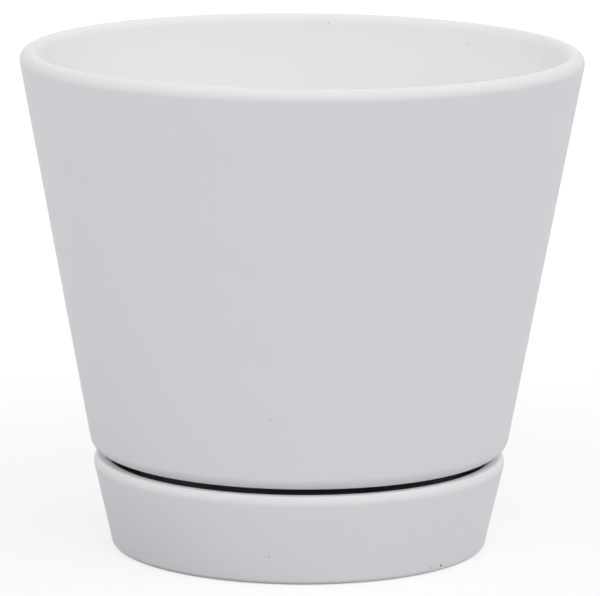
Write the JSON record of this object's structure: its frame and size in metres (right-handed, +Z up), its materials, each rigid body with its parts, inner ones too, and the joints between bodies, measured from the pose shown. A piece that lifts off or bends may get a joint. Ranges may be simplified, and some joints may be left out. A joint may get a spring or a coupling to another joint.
{
  "type": "planter with saucer",
  "caption": "Tapered round glazed ceramic planter with a full-round lip, a drain hole and a recessed foot that stands in a matching tapered saucer, leaving a narrow shadow gap.",
  "frame": {"origin": "on the ground, at the centre of the saucer's stand ring", "axes": "+Z up along the common axis of the planter and the saucer; the picture looks along +Y"},
  "size_m": [0.2032, 0.2032, 0.1815],
  "materials": {
    "saucer_glaze": "satin white glaze with a bare stand ring",
    "pot_glaze": "satin white glaze with a bare foot ring"
  },
  "bodies": {
    "saucer": {"saucer": "saucer_glaze"},
    "pot": {"planter_pot": "pot_glaze"}
  },
  "joints": [
    {"name": "pot_lift", "type": "slide", "parent": "saucer", "child": "pot", "axis": [0, 0, 1], "range_m": [0, 0.06]}
  ]
}
